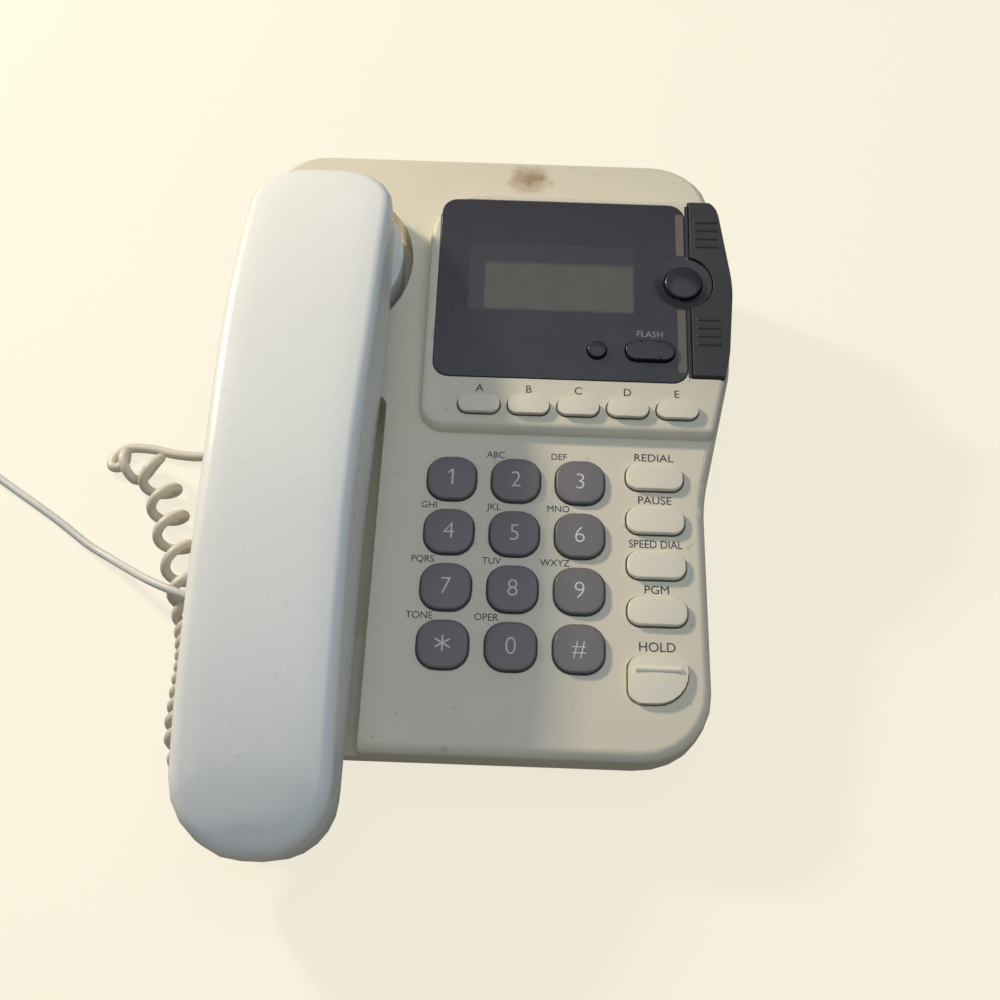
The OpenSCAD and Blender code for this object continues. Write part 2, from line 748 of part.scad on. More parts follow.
// outline of the rocker, which carries on the platform's right side
rocker_ring = [for (p = inset(platform_ring, 0.4)) [p.x, (p.y - platform_y0) / cos(full_tilt)]];
module rocker_plan() {
    intersection() {
        polygon(rocker_ring);
        difference() {
            translate([52.8 + key_gap, 18.7 + key_gap]) square([40, 64.8 - 2 * key_gap]);
            translate(select_at) circle(dish_r + key_gap);
        }
    }
}

module scroll_rocker() {
    y0 = select_at.y;
    placed() color(charcoal) platform() {
        intersection() {
            translate([0, 0, -3.6]) linear_extrude(8) rocker_plan();
            translate([40, 0, 0]) rotate([90, 0, 90]) linear_extrude(40) polygon([
                [y0 - 36, -3.6], [y0 + 36, -3.6], [y0 + 33, 0.6], [y0 + 24, 1.5],
                [y0, 0.4], [y0 - 24, 1.5], [y0 - 33, 0.6]
            ]);
        }
        for (side = [-1, 1], k = [0:3]) translate([54.6, y0 + side * (13.5 + 3 * k), 0.75 + 0.14 * k])
            rotate([0, 90, 0]) cylinder(r = 0.7, h = 7);
        translate([select_at.x + select_r + 2.8, y0, -1.6]) rotate([0, 90, 0]) cylinder(r = 1, h = 5);
    }
}

module hook_plunger() {
    placed() color(cream) deck() translate([handset_x, hook_y, 0]) {
        intersection() {
            translate([0, 0, -8.4]) cylinder(r = 4, h = 8.4 + handset_foot - rest_gap);
            translate([0, 0, handset_foot - rest_gap - 20]) sphere(r = 20, $fn = 120);
        }
        translate([0, 0, -8.4]) cylinder(r = 5.4, h = 1);
        translate([0, 0, -15]) cylinder(r = 2.4, h = 8);
    }
}

module hook_switch() {
    placed() color(charcoal) deck() translate([handset_x, hook_y, 0]) difference() {
        translate([-13, -6, -18]) cube([26, 12, 9]);
        translate([0, 0, -16.5]) cylinder(r = 2.7, h = 12);
    }
}

// socket behind a wall opening; its mouth faces -X
module socket() {
    difference() {
        translate([0, -6, -3.9]) cube([15, 12, 7.8]);
        translate([-1, -plug_w / 2 - plug_gap, -plug_h / 2 - plug_gap])
            cube([10, plug_w + 2 * plug_gap, plug_h + 2 * plug_gap]);
    }
}

// modular plug with its latch; its cord leaves towards -X
module modular_plug() {
    translate([-6, -plug_w / 2, -plug_h / 2]) cube([14.6, plug_w, plug_h - 1]);
    translate([-2, -plug_w / 2 + 2, plug_h / 2 - 1.1]) cube([8, plug_w - 4, 0.9]);
}

module line_jack() {
    placed() color(charcoal) jack_place(line_jack_y) translate([wall, 0, 0]) socket();
}

module base_handset_jack() {
    placed() color(charcoal) jack_place(handset_jack_y) translate([wall, 0, 0]) socket();
}

// slide switch seen from outside, in its own channel
module slide_switch(x) {
    placed() color(charcoal) at_back(x) {
        translate([-6, -4, 2.6]) cube([12, 8, 1.5]);
        translate([-2.5, -2, 0.2]) cube([5, 4, 2.6]);
    }
}

// handset: rings of the outer and inner skins, in the deck frame
function arched(ring, drop) = [for (p = ring) [p.x, p.y, handset_top(p.y) - drop]];
function squeezed(ring, kx, ky) =
    let (my = (handset_front + handset_back) / 2)
    [for (p = ring) [handset_x + (p.x - handset_x) * kx, my + (p.y - my) * ky]];
back_rings = concat(
    [at_z(handset_ring, handset_seam)],
    [for (a = [0:30:90])
        arched(inset(handset_ring, handset_edge * (1 - cos(a))), handset_edge * (1 - sin(a)) + 0.8)],
    [arched(squeezed(handset_ring, 0.55, 0.94), 0.2)]
);
handset_inner = inset(handset_ring, handset_wall);
handset_screw_y = [-26, 46];

module handset_back_shell() {
    placed() color(cream) deck() difference() {
        loft(back_rings, true);
        difference() {
            loft([at_z(handset_inner, handset_seam - 1), arched(handset_inner, handset_wall + 2.4),
                arched(squeezed(handset_inner, 0.8, 0.97), handset_wall + 0.9)], true);
            for (y = handset_screw_y) translate([handset_x, y, handset_seam]) cylinder(r = 3.4, h = 30);
        }
        for (y = handset_screw_y) translate([handset_x, y, handset_seam - 1]) cylinder(r = 1.4, h = 11);
    }
}

mouth_ring = rounded([
    [handset_x - grip_half + 1, handset_front + 1.5, 16], [handset_x + grip_half - 1, handset_front + 1.5, 16],
    [handset_x + grip_half - 1, trough_front - 8, 6], [handset_x - grip_half + 1, trough_front - 8, 6]
]);
mouth_floor = mouth_foot + handset_wall;
cup_floor = cup_foot + handset_wall;
handset_floor = handset_foot + handset_wall;
cup_ring = oval(cup_rx, cup_ry);
handset_jack_at = [handset_x, -72];

module handset_front_shell() {
    placed() color(cream) deck() difference() {
        union() {
            loft([at_z(inset(handset_ring, 2.5), handset_foot), at_z(inset(handset_ring, 0.7), handset_foot + 0.7),
                at_z(handset_ring, handset_foot + 2.5), at_z(handset_ring, handset_seam)], true);
            loft([at_z(inset(cup_ring, 4), cup_foot), at_z(inset(cup_ring, 1.2), cup_foot + 1),
                at_z(cup_ring, cup_foot + 3.6), at_z(cup_ring, 3), at_z(inset(cup_ring, 3.4), 6.4)]);
            loft([at_z(inset(mouth_ring, 3), mouth_foot), at_z(inset(mouth_ring, 0.9), mouth_foot + 0.8),
                at_z(mouth_ring, mouth_foot + 2.8), at_z(mouth_ring, handset_foot + 2)]);
        }
        difference() {
            union() {
                loft([at_z(handset_inner, handset_floor), at_z(handset_inner, handset_seam + 1)], true);
                loft([at_z(inset(cup_ring, 4), cup_floor), at_z(inset(cup_ring, 4), handset_floor + 0.5)]);
                loft([at_z(inset(mouth_ring, 3.4), mouth_floor), at_z(inset(mouth_ring, 3.4), handset_floor + 0.5)]);
            }
            for (y = handset_screw_y) translate([handset_x, y, 0]) cylinder(r = 4.6, h = handset_seam);
        }
        // ear dish with its sound holes
        translate([handset_x, ear_y, cup_foot - 88.8]) sphere(r = 90, $fn = 160);
        for (k = [0:5]) translate([handset_x + 6 * cos(60 * k), ear_y + 6 * sin(60 * k), cup_foot - 1])
            cylinder(r = 1.1, h = 9);
        translate([handset_x, ear_y, cup_foot - 1]) cylinder(r = 1.1, h = 9);
        // speech holes, cord socket and screw holes
        for (x = [-3, 0, 3]) translate([handset_x + x, -46, mouth_foot - 1]) cylinder(r = 0.8, h = 9);
        translate([handset_jack_at.x, handset_jack_at.y, mouth_foot - 1]) linear_extrude(9)
            square([plug_w + 2 * plug_gap, plug_h + 2 * plug_gap], center = true);
        for (y = handset_screw_y) translate([handset_x, y, 0]) {
            cylinder(r = 1.6, h = 20);
            cylinder(r = 3.2, h = 3.6);
        }
    }
}

module receiver_capsule() {
    placed() color(charcoal) deck() translate([handset_x, ear_y, cup_floor]) {
        cylinder(r = 17, h = 6);
        translate([0, 0, 6]) cylinder(r = 9, h = 4);
    }
}

module microphone() {
    placed() color(charcoal) deck() translate([handset_x, -46, mouth_floor]) cylinder(r = 5.5, h = 5);
}

module handset_weight() {
    placed() color(steel) deck() translate([handset_x - 12, -14, handset_floor]) cube([24, 48, 7]);
}

module handset_jack() {
    placed() color(charcoal) deck() translate([handset_jack_at.x, handset_jack_at.y, mouth_floor]) difference() {
        translate([-6.5, -5.5, 0]) cube([13, 11, 11]);
        translate([0, 0, -1]) linear_extrude(9)
            square([plug_w + 2 * plug_gap, plug_h + 2 * plug_gap], center = true);
    }
}

module handset_screws() {
    placed() color(steel) deck() for (y = handset_screw_y) translate([handset_x, y, 1.4]) difference() {
        union() {
            cylinder(r = 2.9, h = 2.2);
            cylinder(r = 1.3, h = handset_seam + 7);
        }
        translate([-2, -0.4, -1]) cube([4, 0.8, 1.8]);
        translate([-0.4, -2, -1]) cube([0.8, 4, 1.8]);
    }
}

// smooth curve through route points, with steps[i] pieces after point i
function spline(p, q, r, s, t) =
    (2 * q + (r - p) * t + (2 * p - 5 * q + 4 * r - s) * t ^ 2 + (3 * q - p - 3 * r + s) * t ^ 3) / 2;
function on_route(route, i, t) =
    spline(route[max(i - 1, 0)], route[i], route[i + 1], route[min(i + 2, len(route) - 1)], t);
function smooth(route, n) =
    concat(
        [for (i = [0:len(route) - 2]) for (k = [0:n - 1]) on_route(route, i, k / n)],
        [route[len(route) - 1]]
    );
function tangents(path) =
    let (last = len(path) - 1)
    [for (i = [0:last]) unit(path[min(i + 1, last)] - path[max(i - 1, 0)])];

// directions square to the path, carried along it without twist
function carried(t, first) =
    [for (i = 0, u = first; i < len(t); i = i + 1, u = i < len(t) ? unit(u - (u * t[i]) * t[i]) : u) u];

// tube of n sides around a path; u holds one direction square to the path at each point
module tube(path, u, r, n = 6) {
    t = tangents(path);
    loft([for (i = [0:len(path) - 1])
        let (a = unit(u[i] - (u[i] * t[i]) * t[i]), b = cross(t[i], a))
        [for (k = [0:n - 1]) path[i] + r * (cos(360 * k / n) * a + sin(360 * k / n) * b)]]);
}

// least distance of a path to itself, leaving out points closer than skip steps
function self_distance(path, skip) =
    min([for (i = [0:len(path) - 1 - skip]) for (j = [i + skip:len(path) - 1]) norm(path[i] - path[j])]);

// curly cord from the base socket to the handset socket: x, y, z, curls up to the next point, curl radius
curl_z = 6.6;
cord_exit_z = jack_z - 0.5;
curly_route = [
    [-90.2, handset_jack_y, cord_exit_z, 0, 0], [-95, 117.5, 13.5, 0, 0], [-98.5, 113, 9.5, 0.3, 0],
    [-96.5, 106, 7.2, 0.9, 0.3], [-93.5, 97, curl_z, 2.3, 1], [-92.5, 87.5, curl_z, 2.3, 1],
    [-92.5, 78, curl_z, 2.2, 1], [-93.5, 68, curl_z, 1, 1], [-97.5, 60.5, 4.5, 0.2, 0.25],
    [-104, 56.2, 2.4, 0, 0], [-114, 56.6, 1.8, 0, 0], [-123.6, 58.6, 1.8, 0, 0],
    [-131, 57.5, 2.2, 0.2, 0.1], [-134, 51.5, 4, 0.6, 0.4], [-128.5, 48.5, 6.2, 0.9, 0.9],
    [-119.5, 46.5, curl_z, 1.1, 1], [-113.4, 35.5, curl_z, 1.1, 1], [-109, 24.1, curl_z, 1.6, 1],
    [-101.6, 6, curl_z, 2.2, 1], [-95.5, -10, curl_z, 2.8, 1], [-93, -22, curl_z, 2.9, 1],
    [-92.5, -34, curl_z, 2.7, 1], [-91.5, -46, curl_z, 2.2, 1], [-86, -58, curl_z, 2.1, 1],
    [-75, -64, curl_z, 1.1, 1], [-67.5, -68.5, 4.5, 0.2, 0.25], [-64.3, -69.8, 6.2, 0, 0],
    [-64, -69.3, 10.4, 0, 0]
];
curl_sum = [for (i = 0, s = 0; i < len(curly_route); i = i + 1, s = s + curly_route[i - 1][3]) s];
curl_steps = [for (i = [0:len(curly_route) - 2]) for (k = [0:max(3, round(8 * curly_route[i][3])) - 1])
    [i, k / max(3, round(8 * curly_route[i][3]))]];
function axis_at(s) = let (p = on_route(curly_route, s[0], s[1])) [p.x, p.y, p.z];
function phase_at(s) = 360 * (curl_sum[s[0]] + s[1] * curly_route[s[0]][3]);
function swell_at(s) =
    curl_r * (curly_route[s[0]][4] * (1 - blend(s[1])) + curly_route[s[0] + 1][4] * blend(s[1]));
curl_axis = [for (s = curl_steps) axis_at(s)];
curl_u = carried(tangents(curl_axis), [0, 0, 1]);
curl_t = tangents(curl_axis);
curl_out = [for (i = [0:len(curl_steps) - 1])
    let (a = phase_at(curl_steps[i])) cos(a) * curl_u[i] + sin(a) * cross(curl_t[i], curl_u[i])];
curl_path = [for (i = [0:len(curl_steps) - 1]) curl_axis[i] + swell_at(curl_steps[i]) * curl_out[i]];

module handset_cord() {
    echo("curly cord: least gap to itself", self_distance(curl_path, 5) - wire_d);
    echo("curly cord: wire length", path_length(curl_path));
    placed() color(cord_grey) tube(curl_path, curl_out, wire_d / 2);
}
function path_length(path) =
    let (steps = [for (i = [1:len(path) - 1]) norm(path[i] - path[i - 1])]) steps * [for (s = steps) 1];

module handset_cord_plug_base() {
    placed() color([0.75, 0.76, 0.78]) jack_place(handset_jack_y) modular_plug();
}

module handset_cord_plug_handset() {
    placed() color([0.75, 0.76, 0.78]) deck()
        translate([handset_jack_at.x, handset_jack_at.y, mouth_foot]) rotate([0, 0, 90]) rotate([0, -90, 0])
        modular_plug();
}

// line cord out to the left, and its bundled rest: layers wind in and out in turn
coil_at = [-207, 38.5];
coil_start = 60;
coil_end = 180;
coil_layers = 4;
coil_lift = 90;
layer_turn = (360 * coil_turns + coil_end - coil_start - (coil_layers - 1) * coil_lift) / coil_layers;
coil_inner = coil_r - coil_pitch * layer_turn / 360;
coil_z = 1.2 + line_d / 2;
function coil_point(a) =
    let (
        span = layer_turn + coil_lift,
        k = min(coil_layers - 1, floor(a / span)),
        b = min(a - k * span, layer_turn),
        lift = blend((a - k * span - layer_turn) / coil_lift),
        r = k % 2 == 0 ? coil_r - coil_pitch * b / 360 : coil_inner + coil_pitch * b / 360,
        z = coil_z + coil_pitch * (k + lift)
    )
    [coil_at.x + r * cos(coil_start + a), coil_at.y + r * sin(coil_start + a), z];
coil_sweep = coil_layers * layer_turn + (coil_layers - 1) * coil_lift;
coil_steps = ceil(coil_sweep / 15);
coil_loops = [for (k = [0:coil_steps]) coil_point(coil_sweep * k / coil_steps)];
coil_last = coil_loops[coil_steps];
far_plug = [coil_last.x + 1, coil_last.y - 34, 3.6];
coil_tail = smooth([
    coil_last, coil_last + [-0.3, -9, -1.4], coil_last + [0.5, -18, -5], far_plug + [0, 6.2, -0.5]
], 4);
line_route = [
    [-90.2, line_jack_y, cord_exit_z], [-96, -5.2, 15.4], [-103, -2.5, 15], [-111, 2, 12.4], [-119, 8, 7.8],
    [-127, 14, 3.8], [-136, 20, 1.9], [-148, 29, 1.5], [-162, 38.5, 1.5], [-178, 49, 1.9], coil_loops[0]
];

module line_cord() {
    path = smooth(line_route, 3);
    placed() color(cord_white) tube(path, carried(tangents(path), [0, 0, 1]), line_d / 2, 8);
}

module line_cord_coil() {
    path = concat(coil_loops, [for (i = [1:len(coil_tail) - 1]) coil_tail[i]]);
    echo("line cord: least gap in the bundle", self_distance(coil_loops, 12) - line_d);
    echo("line cord: whole length", path_length(path) + path_length(smooth(line_route, 3)));
    placed() color(cord_white) tube(path, [for (p = path) [0, 0, 1]], line_d / 2);
}

module line_cord_plugs() {
    placed() color([0.75, 0.76, 0.78]) {
        jack_place(line_jack_y) modular_plug();
        translate(far_plug) rotate([0, 0, -90]) modular_plug();
    }
}

module cord_tie() {
    gap = 0.35;
    strip = 0.8;
    low = coil_inner - line_d / 2 - gap;
    wide = coil_r + line_d / 2 + gap - low;
    high = coil_layers * coil_pitch + gap;
    placed() color(charcoal) translate([coil_at.x, coil_at.y, 0]) rotate([0, 0, -60])
        translate([low, -2.5, coil_z - line_d / 2 - gap]) difference() {
            translate([-strip, 0, -strip]) cube([wide + 2 * strip, 5, high + 2 * strip]);
            translate([0, -1, 0]) cube([wide, 7, high]);
        }
}

top_cover();
bottom_cover();
display_lens();
lcd_module();
scroll_rocker();
select_button();
round_key();
flash_key();
one_touch_key(0);  // one_touch_key_a
one_touch_key(1);  // one_touch_key_b
one_touch_key(2);  // one_touch_key_c
one_touch_key(3);  // one_touch_key_d
one_touch_key(4);  // one_touch_key_e
dial_key(0);  // dial_key_1
dial_key(1);  // dial_key_2
dial_key(2);  // dial_key_3
dial_key(3);  // dial_key_4
dial_key(4);  // dial_key_5
dial_key(5);  // dial_key_6
dial_key(6);  // dial_key_7
dial_key(7);  // dial_key_8
dial_key(8);  // dial_key_9
dial_key(9);  // dial_key_star
dial_key(10);  // dial_key_0
dial_key(11);  // dial_key_hash
function_key(0);  // redial_key
function_key(1);  // pause_key
function_key(2);  // speed_dial_key
function_key(3);  // program_key
hold_key();
keymat();
main_board();
display_board();
hook_plunger();
hook_switch();
ringer();
line_jack();
base_handset_jack();
battery_door();
batteries();
battery_contacts();
feet();
base_screws();
board_screws();
slide_switch(ringer_switch_x);  // ringer_switch
slide_switch(mode_switch_x);  // dial_mode_switch
handset_back_shell();
handset_front_shell();
receiver_capsule();
microphone();
handset_weight();
handset_jack();
handset_screws();
handset_cord();
handset_cord_plug_base();
handset_cord_plug_handset();
line_cord();
line_cord_coil();
line_cord_plugs();
cord_tie();
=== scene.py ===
import math

import bpy
from mathutils import Matrix, Vector


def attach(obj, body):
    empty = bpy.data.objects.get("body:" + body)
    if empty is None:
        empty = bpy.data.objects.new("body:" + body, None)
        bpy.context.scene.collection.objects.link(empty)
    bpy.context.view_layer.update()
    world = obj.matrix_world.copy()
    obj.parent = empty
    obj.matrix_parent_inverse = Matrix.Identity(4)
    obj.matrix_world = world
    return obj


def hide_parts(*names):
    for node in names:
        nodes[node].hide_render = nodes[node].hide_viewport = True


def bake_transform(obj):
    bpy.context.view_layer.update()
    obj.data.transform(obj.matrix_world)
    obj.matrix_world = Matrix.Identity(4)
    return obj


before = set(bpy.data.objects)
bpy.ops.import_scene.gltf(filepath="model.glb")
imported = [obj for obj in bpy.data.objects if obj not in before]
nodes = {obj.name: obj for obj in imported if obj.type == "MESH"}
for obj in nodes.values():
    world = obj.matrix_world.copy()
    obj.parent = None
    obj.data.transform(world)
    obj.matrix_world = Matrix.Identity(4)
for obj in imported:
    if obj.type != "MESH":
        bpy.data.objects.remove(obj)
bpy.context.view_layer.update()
print("frame loaded with", len(nodes), "nodes")

scene = bpy.context.scene
scene.view_settings.view_transform = "Standard"

# the phone's own millimetre frame, and the sloped frames of its deck and its rear platform
mm = 0.001
centre = Vector((-10.9251, 31.6749, 0))
deck = {"height": 34, "tilt": 8.5}
platform = {"at": (0, 42, 3.5), "tilt": 3}


def tilted(at, degrees):
    return Matrix.Translation(at) @ Matrix.Rotation(math.radians(degrees), 4, "X")


deckFrame = tilted((-centre.x, -centre.y, deck["height"]), deck["tilt"])
platformFrame = deckFrame @ tilted(platform["at"], platform["tilt"])


def row(x, y, z=0):
    return (Vector((x, y, z)) - centre) * mm


def linear(red, green, blue):
    def one(v):
        v = v / 255
        return v / 12.92 if v <= 0.04045 else ((v + 0.055) / 1.055) ** 2.4
    return (one(red), one(green), one(blue), 1)


# camera at the photo's viewing angle
camera = {
    "place": (0.0092251, -0.2097349, 0.33048),
    "right": (0.99936, 0.0335, 0.01289),
    "up": (-0.035, 0.82928, 0.55774),
    "back": (0.00799, -0.55783, 0.82991),
    "lens": 43.2,
}
bpy.ops.object.camera_add()
cameraObject = bpy.context.object
cameraObject.name = "camera"
axes = Matrix((camera["right"], camera["up"], camera["back"])).transposed().to_4x4()
cameraObject.matrix_world = Matrix.Translation(camera["place"]) @ axes
cameraObject.data.sensor_width = 36
cameraObject.data.lens = camera["lens"]
cameraObject.data.clip_start = 0.01
scene.camera = cameraObject

# warm soft lamp from the left, wide cool fill from above
lamps = [
    {"name": "warmLamp", "at": (-0.66, 0.46, 0.5), "size": 0.09, "power": 7.6, "colour": (1, 0.86, 0.64)},
    {"name": "coolFill", "at": (0.25, -0.1, 1.5), "size": 1.6, "power": 7.2, "colour": (0.84, 0.92, 1)},
]
for lamp in lamps:
    bpy.ops.object.light_add(type="AREA", location=lamp["at"])
    lampObject = bpy.context.object
    lampObject.name = lamp["name"]
    lampObject.data.size = lamp["size"]
    lampObject.data.energy = lamp["power"]
    lampObject.data.color = lamp["colour"]
    lampObject.rotation_euler = (-Vector(lamp["at"])).to_track_quat("-Z", "Y").to_euler()
sky = {"colour": (0.86, 0.93, 1, 1), "strength": 0.17}
world = scene.world or bpy.data.worlds.new("world")
scene.world = world
world.use_nodes = True
background = world.node_tree.nodes["Background"]
background.inputs[0].default_value = sky["colour"]
background.inputs[1].default_value = sky["strength"]
print("camera and light set")


# node helpers
def newMaterial(name):
    material = bpy.data.materials.new(name)
    material.use_nodes = True
    tree = material.node_tree
    shader = tree.nodes["Principled BSDF"]
    coords = tree.nodes.new("ShaderNodeTexCoord")
    return material, tree, shader, coords


def noise(tree, vector, scale, detail=2, roughness=0.5):
    node = tree.nodes.new("ShaderNodeTexNoise")
    node.inputs["Scale"].default_value = scale
    node.inputs["Detail"].default_value = detail
    node.inputs["Roughness"].default_value = roughness
    tree.links.new(vector, node.inputs["Vector"])
    return node.outputs["Fac"]


def span(tree, value, low, high, start, end):
    node = tree.nodes.new("ShaderNodeMapRange")
    tree.links.new(value, node.inputs[0])
    for slot, v in zip((1, 2, 3, 4), (low, high, start, end)):
        node.inputs[slot].default_value = v
    return node.outputs[0]


def mix(tree, factor, first, second):
    node = tree.nodes.new("ShaderNodeMix")
    node.data_type = "RGBA"
    for slot, v in ((0, factor), (6, first), (7, second)):
        if isinstance(v, bpy.types.NodeSocket):
            tree.links.new(v, node.inputs[slot])
        else:
            node.inputs[slot].default_value = v
    return node.outputs[2]


def sums(tree, operation, first, second=None):
    node = tree.nodes.new("ShaderNodeMath")
    node.operation = operation
    for slot, v in ((0, first), (1, second)):
        if isinstance(v, bpy.types.NodeSocket):
            tree.links.new(v, node.inputs[slot])
        elif v is not None:
            node.inputs[slot].default_value = v
    return node.outputs[0]


def bump(tree, shader, height, strength, distance=0.0002):
    node = tree.nodes.new("ShaderNodeBump")
    node.inputs["Strength"].default_value = strength
    node.inputs["Distance"].default_value = distance
    tree.links.new(height, node.inputs["Height"])
    tree.links.new(node.outputs[0], shader.inputs["Normal"])


def shade(colour, by):
    return tuple(min(1, c * by) for c in colour[:3]) + (1,)


# moulded plastic and rubber: broad tone drift, fine texture, uneven gloss and specks
def plastic(look):
    material, tree, shader, coords = newMaterial(look["name"])
    place = coords.outputs["Object"]
    base = linear(*look["colour"])
    drift = span(tree, noise(tree, place, look.get("driftScale", 16), 4), 0.3, 0.7, 0, 1)
    spread = look.get("drift", 0.05)
    colour = mix(tree, drift, shade(base, 1 - spread), shade(base, 1 + spread))
    if look.get("specks"):
        specks = span(tree, noise(tree, place, 330, 1), 0.72, 0.78, 0, look["specks"])
        colour = mix(tree, specks, colour, shade(base, 0.35))
    if look.get("stain"):
        colour = look["stain"](tree, place, colour)
    tree.links.new(colour, shader.inputs["Base Color"])
    gloss = noise(tree, place, look.get("glossScale", 70), 6, 0.65)
    rough = span(tree, gloss, 0.3, 0.7, look["rough"] - 0.05, look["rough"] + 0.07)
    tree.links.new(rough, shader.inputs["Roughness"])
    bump(tree, shader, noise(tree, place, look.get("grainScale", 1500), 3), look.get("grain", 0.12))
    shader.inputs["Coat Weight"].default_value = look.get("coat", 0)
    shader.inputs["Coat Roughness"].default_value = 0.12
    shader.inputs["Metallic"].default_value = look.get("metal", 0)
    shader.inputs["Transmission Weight"].default_value = look.get("clear", 0)
    return material


# brown patch of old glue at the back of the platform
glue = {"at": (1.5, 141.5, 51.5), "ragged": 0.005, "core": 0.002, "reach": 0.008, "cover": 0.75,
        "colour": (150, 112, 66)}


def glueStain(tree, place, colour):
    apart = tree.nodes.new("ShaderNodeVectorMath")
    apart.operation = "DISTANCE"
    apart.inputs[1].default_value = row(*glue["at"])
    tree.links.new(place, apart.inputs[0])
    frayed = span(tree, noise(tree, place, 260, 4), 0, 1, -glue["ragged"], glue["ragged"])
    ragged = sums(tree, "ADD", apart.outputs["Value"], frayed)
    spot = span(tree, ragged, glue["core"], glue["reach"], glue["cover"], 0)
    return mix(tree, spot, colour, linear(*glue["colour"]))


looks = {
    "housing": {"name": "ivoryHousing", "colour": (226, 220, 202), "rough": 0.42, "drift": 0.03, "specks": 0.25,
                "stain": glueStain, "grain": 0.1},
    "handset": {"name": "paleHandset", "colour": (244, 247, 247), "rough": 0.3, "drift": 0.02, "specks": 0.1,
                "grain": 0.06},
    "creamKeys": {"name": "creamKeys", "colour": (236, 231, 214), "rough": 0.4, "drift": 0.03, "grain": 0.06},
    "greyKeys": {"name": "greyKeys", "colour": (120, 116, 119), "rough": 0.38, "drift": 0.06, "grain": 0.1},
    "darkPanel": {"name": "darkPanel", "colour": (46, 44, 52), "rough": 0.26, "drift": 0.1, "grain": 0.03,
                  "coat": 0.12},
    "charcoal": {"name": "charcoalPlastic", "colour": (58, 56, 62), "rough": 0.5, "drift": 0.06, "grain": 0.2},
    # painted highlight colour for the panel's bevelled right edge
    "edgeHighlight": {"name": "paintedEdgeHighlight", "colour": (112, 104, 98), "rough": 0.5, "drift": 0.06, "grain": 0.15},
    "contactRubber": {"name": "contactRubber", "colour": (146, 148, 152), "rough": 0.7, "drift": 0.06,
                      "grain": 0.25},
    "footRubber": {"name": "footRubber", "colour": (44, 42, 42), "rough": 0.85, "drift": 0.1, "grain": 0.5},
    "steel": {"name": "platedSteel", "colour": (186, 186, 182), "rough": 0.3, "drift": 0.08, "metal": 1,
              "grain": 0.08},
    "clearPlug": {"name": "clearPlug", "colour": (222, 226, 230), "rough": 0.14, "drift": 0.03, "clear": 0.7,
                  "grain": 0.04},
    "board": {"name": "circuitBoard", "colour": (46, 92, 62), "rough": 0.4, "drift": 0.2, "driftScale": 180,
              "grain": 0.15},
    "cells": {"name": "cellJacket", "colour": (52, 62, 80), "rough": 0.35, "drift": 0.1, "grain": 0.05},
    "lcdFrame": {"name": "lcdFrame", "colour": (70, 72, 66), "rough": 0.3, "drift": 0.06, "grain": 0.05},
    "darkInk": {"name": "darkInk", "colour": (46, 54, 72), "rough": 0.6, "drift": 0.12, "driftScale": 500},
    "whiteInk": {"name": "whiteInk", "colour": (222, 220, 220), "rough": 0.55, "drift": 0.05,
                 "driftScale": 500},
    "greyInk": {"name": "greyInk", "colour": (150, 150, 156), "rough": 0.55, "drift": 0.08, "driftScale": 500},
    "curlyJacket": {"name": "curlyJacket", "colour": (216, 211, 200), "rough": 0.4, "drift": 0.06,
                    "driftScale": 60, "grain": 0.12},
    "lineJacket": {"name": "lineJacket", "colour": (206, 210, 212), "rough": 0.42, "drift": 0.05,
                   "driftScale": 60, "grain": 0.12},
}
finish = {key: plastic(look) for key, look in looks.items()}
print("materials made:", len(finish))

# pale floor, brighter for the camera than for the light it gives back
ground = {"size": 4, "dark": (116, 112, 102), "light": (119, 115, 105), "glow": (251, 245, 226), "seen": 0.83,
          "given": 0.1}
bpy.ops.mesh.primitive_plane_add(size=ground["size"])
floor = bpy.context.object
floor.name = "floor"
floorMaterial, tree, shader, coords = newMaterial("paleFloor")
floorTone = span(tree, noise(tree, coords.outputs["Object"], 2, 2), 0.3, 0.7, 0, 1)
floorColour = mix(tree, floorTone, linear(*ground["dark"]), linear(*ground["light"]))
tree.links.new(floorColour, shader.inputs["Base Color"])
shader.inputs["Roughness"].default_value = 0.9
shader.inputs["Specular IOR Level"].default_value = 0.1
shader.inputs["Emission Color"].default_value = linear(*ground["glow"])
rays = tree.nodes.new("ShaderNodeLightPath")
glow = span(tree, rays.outputs["Is Camera Ray"], 0, 1, ground["given"], ground["seen"])
tree.links.new(glow, shader.inputs["Emission Strength"])
floor.data.materials.append(floorMaterial)


# cords: curve points, then a tube of rings around them
def onRoute(route, i, t):
    p, q = route[max(i - 1, 0)], route[i]
    r, s = route[i + 1], route[min(i + 2, len(route) - 1)]
    return [(2 * b + (c - a) * t + (2 * a - 5 * b + 4 * c - d) * t ** 2 + (3 * b - a - 3 * c + d) * t ** 3) / 2
            for a, b, c, d in zip(p, q, r, s)]


def smoothRoute(route, steps):
    points = [onRoute(route, i, k / steps) for i in range(len(route) - 1) for k in range(steps)]
    return points + [list(route[-1])]


def ease(t):
    return (1 - math.cos(math.pi * min(max(t, 0), 1))) / 2


def directions(path):
    last = len(path) - 1
    return [(path[min(i + 1, last)] - path[max(i - 1, 0)]).normalized() for i in range(len(path))]


def carried(along, first):
    sides = []
    side = Vector(first)
    for t in along:
        side = (side - side.dot(t) * t).normalized()
        sides.append(side)
    return sides


